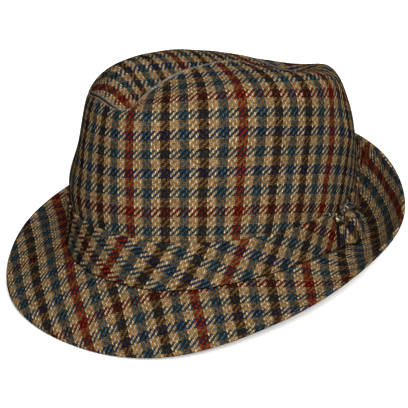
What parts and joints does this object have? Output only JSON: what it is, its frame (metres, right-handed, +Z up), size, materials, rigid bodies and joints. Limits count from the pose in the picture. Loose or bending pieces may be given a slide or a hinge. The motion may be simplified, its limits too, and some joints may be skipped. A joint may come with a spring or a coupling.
{
  "type": "trilby hat",
  "caption": "Cloth trilby with a creased teardrop crown, matching hat band with a side knot, and a short brim turned down in front and up behind.",
  "frame": {"origin": "centre of the bounding box, at the surface that the brim rests on", "axes": "+Z up, -Y towards the front of the hat, +X towards the wearer's left"},
  "size_m": [0.2288, 0.2558, 0.1393],
  "materials": {
    "crown_side_cloth": "woven wool check, matt",
    "crown_tip_cloth": "woven wool check, matt",
    "brim_cloth": "woven wool check, matt",
    "band_cloth": "woven wool check on the bias, matt",
    "knot_cloth": "woven wool check, matt"
  },
  "bodies": {
    "root": {"crown_side": "crown_side_cloth", "crown_tip": "crown_tip_cloth", "brim": "brim_cloth", "hat_band": "band_cloth", "bow_knot": "knot_cloth"}
  },
  "joints": []
}
